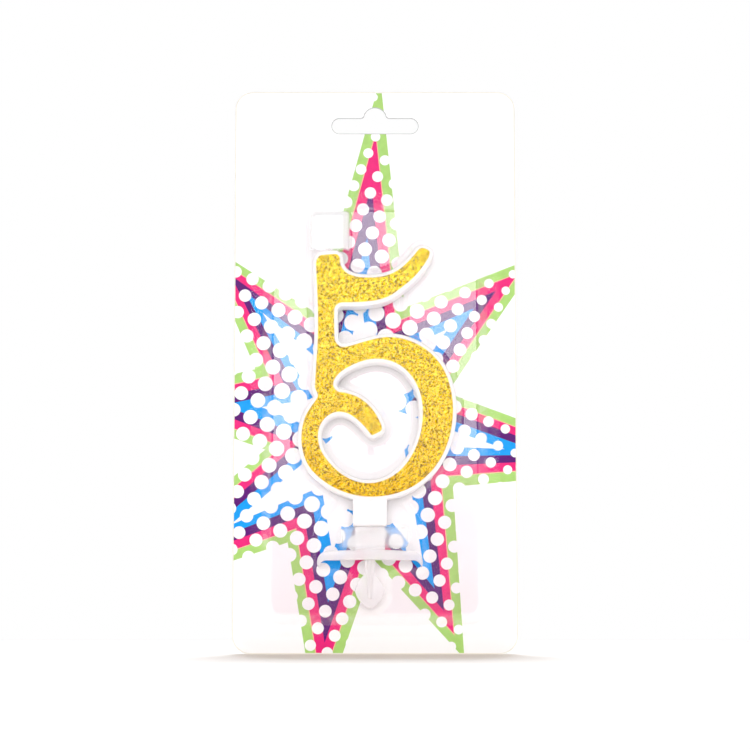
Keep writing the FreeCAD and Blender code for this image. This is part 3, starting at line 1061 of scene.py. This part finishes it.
# The soft edges of each part, from where it is nothing to where it is full, of a direction's
# height, of its sideways part squared, and of its Y, which is negative in front of the card
SOFTBOX_EDGES = {"up": ((0.035, 0.075), (0.46, 0.38)), "across": (0.11, 0.07), "y": (0.0, -0.1)}
BACK_LIGHT_EDGES = {"up": ((0.76, 0.8), (0.975, 0.95)), "across": (0.022, 0.012), "y": (0.0, 0.1)}
DOME_EDGE = (0.3, 0.55)
BACKDROP_EDGE = (0.05, 0.3)
BACKDROP_TOP = (0.5, 0.3)
WHITE = (1, 1, 1, 1)
# The floor's nearer left and farther right corner, its tones, and how much it glows of itself: for
# the object, and for the camera
FLOOR = ((-0.7, -0.65), (0.7, 0.25))
FLOOR_TONES = [(0.3, (0.8, 0.72, 0.645)), (0.7, (0.81, 0.73, 0.655))]
FLOOR_GLOW = (0.22, 0.03)


def make_camera():
    """The camera, straight in front of the card at the photograph's height."""
    target = Vector((0, CARD_LOW.y, CARD_LOW.z + CAMERA_AIM))
    back = Vector((0, -math.cos(CAMERA_ELEVATION), math.sin(CAMERA_ELEVATION)))
    data = bpy.data.cameras.new("camera")
    data.lens = LENS_MM
    data.sensor_width = SENSOR_MM
    data.clip_start = CAMERA_NEAR
    camera = bpy.data.objects.new("camera", data)
    camera.location = target + back * CAMERA_DISTANCE
    camera.rotation_euler = (-back).to_track_quat("-Z", "Y").to_euler()
    bpy.context.scene.collection.objects.link(camera)
    bpy.context.scene.camera = camera


def light_patch(tree, way, edges, strength):
    """A patch of light of that strength in the room, with soft edges."""
    low, high = edges["up"]
    return times(
        tree,
        smooth_between(tree, way["Z"], *low),
        smooth_between(tree, way["Z"], *high),
        smooth_between(tree, times(tree, way["X"], way["X"]), *edges["across"]),
        smooth_between(tree, way["Y"], *edges["y"]),
        strength,
    )


def make_studio():
    """A white backdrop and floor, and a soft room: a broad softbox in front above the eye line, a
    bright ceiling, white walls behind, a dim horizon in front, and a cool light high behind the
    card. The camera sees the room as plain white."""
    world = bpy.data.worlds.new("studio")
    world.use_nodes = True
    tree = world.node_tree
    tree.nodes.clear()
    way = add(tree, "SeparateXYZ", {"Vector": add(tree, "TexCoord").outputs["Generated"]}).outputs
    box = light_patch(tree, way, SOFTBOX_EDGES, SOFTBOX)
    ceiling = times(tree, smooth_between(tree, way["Z"], *DOME_EDGE), DOME - HORIZON)
    backdrop = times(
        tree,
        smooth_between(tree, way["Y"], *BACKDROP_EDGE),
        smooth_between(tree, way["Z"], *BACKDROP_TOP),
        BACKDROP - HORIZON,
    )
    strength = plus(tree, box, ceiling, backdrop, HORIZON)
    lit = add(tree, "Background", {"Color": WHITE, "Strength": strength})
    high = light_patch(tree, way, BACK_LIGHT_EDGES, BACK_LIGHT)
    behind = add(tree, "Background", {"Color": BACK_LIGHT_COLOUR, "Strength": high})
    room = add(tree, "AddShader", {0: lit.outputs["Background"], 1: behind.outputs["Background"]})
    plain = add(tree, "Background", {"Color": WHITE, "Strength": 1.0})
    seen = add(tree, "LightPath").outputs["Is Camera Ray"]
    inputs = {"Fac": seen, 1: room.outputs["Shader"], 2: plain.outputs["Background"]}
    mixed = add(tree, "MixShader", inputs).outputs["Shader"]
    tree.links.new(mixed, add(tree, "OutputWorld").inputs["Surface"])
    bpy.context.scene.world = world

    z = CARD_LOW.z
    (left, near), (right, far) = FLOOR
    corners = [(left, near, z), (right, near, z), (right, far, z), (left, far, z)]
    floor = mesh_object("floor", corners, [(0, 1, 2, 3)])
    material, tree = new_material("floor_white")
    tone = ramp(tree, noise(tree, 3), FLOOR_TONES)
    paper = add(tree, "BsdfDiffuse", {"Color": tone}).outputs["BSDF"]
    glow = spread(tree, add(tree, "LightPath").outputs["Is Camera Ray"], *FLOOR_GLOW)
    lift = add(tree, "Emission", {"Color": WHITE, "Strength": glow}).outputs["Emission"]
    show(tree, add(tree, "AddShader", {0: paper, 1: lift}).outputs["Shader"])
    floor.data.materials.append(material)
    bpy.context.scene.view_settings.view_transform = "Standard"


make_camera()
make_studio()
make_card()
make_glitter()
make_wax()
make_wick()
make_pick()
make_blister()
